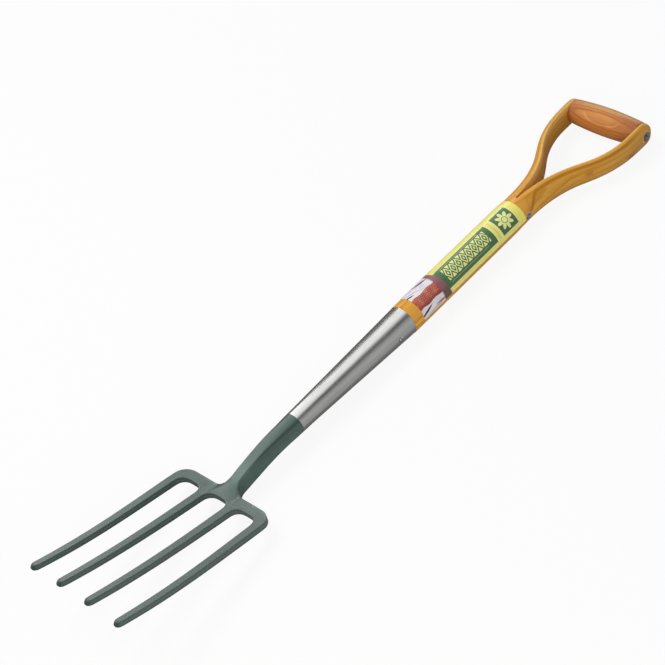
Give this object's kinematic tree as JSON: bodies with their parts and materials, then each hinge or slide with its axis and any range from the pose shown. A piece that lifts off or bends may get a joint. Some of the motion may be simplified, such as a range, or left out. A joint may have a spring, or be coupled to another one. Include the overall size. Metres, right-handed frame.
{
  "type": "border fork",
  "caption": "Border fork: forged steel head with curved tines and tapered socket, split wooden shaft opening into a Y handle with a barrel grip.",
  "frame": {"origin": "bottom centre of the box around the fork as it lies on its back", "axes": "+Y runs from the tines' tips to the grip, +Z is the front of the fork, the side the tines curve towards, and X is its width"},
  "size_m": [0.1428, 0.9442, 0.081],
  "materials": {
    "painted_steel": "satin green paint on the tines, shoulder and neck; the socket is bare brushed steel",
    "varnished_ash": "clear varnish over golden ash with lengthwise grain",
    "red_brown_wood": "clear varnish over reddish brown wood",
    "rivet_steel": "bare, slightly dulled",
    "striped_paper": "printed paper label, thin clear coat",
    "yellow_paper": "printed paper label, thin clear coat"
  },
  "bodies": {
    "root": {"fork_head": "painted_steel", "shaft": "varnished_ash", "grip": "red_brown_wood", "grip_rivet": "rivet_steel", "grip_washer_left": "rivet_steel", "grip_washer_right": "rivet_steel", "split_rivet": "rivet_steel", "split_washer_left": "rivet_steel", "split_washer_right": "rivet_steel", "socket_rivet": "rivet_steel", "band_label": "striped_paper", "main_label": "yellow_paper"}
  },
  "joints": []
}
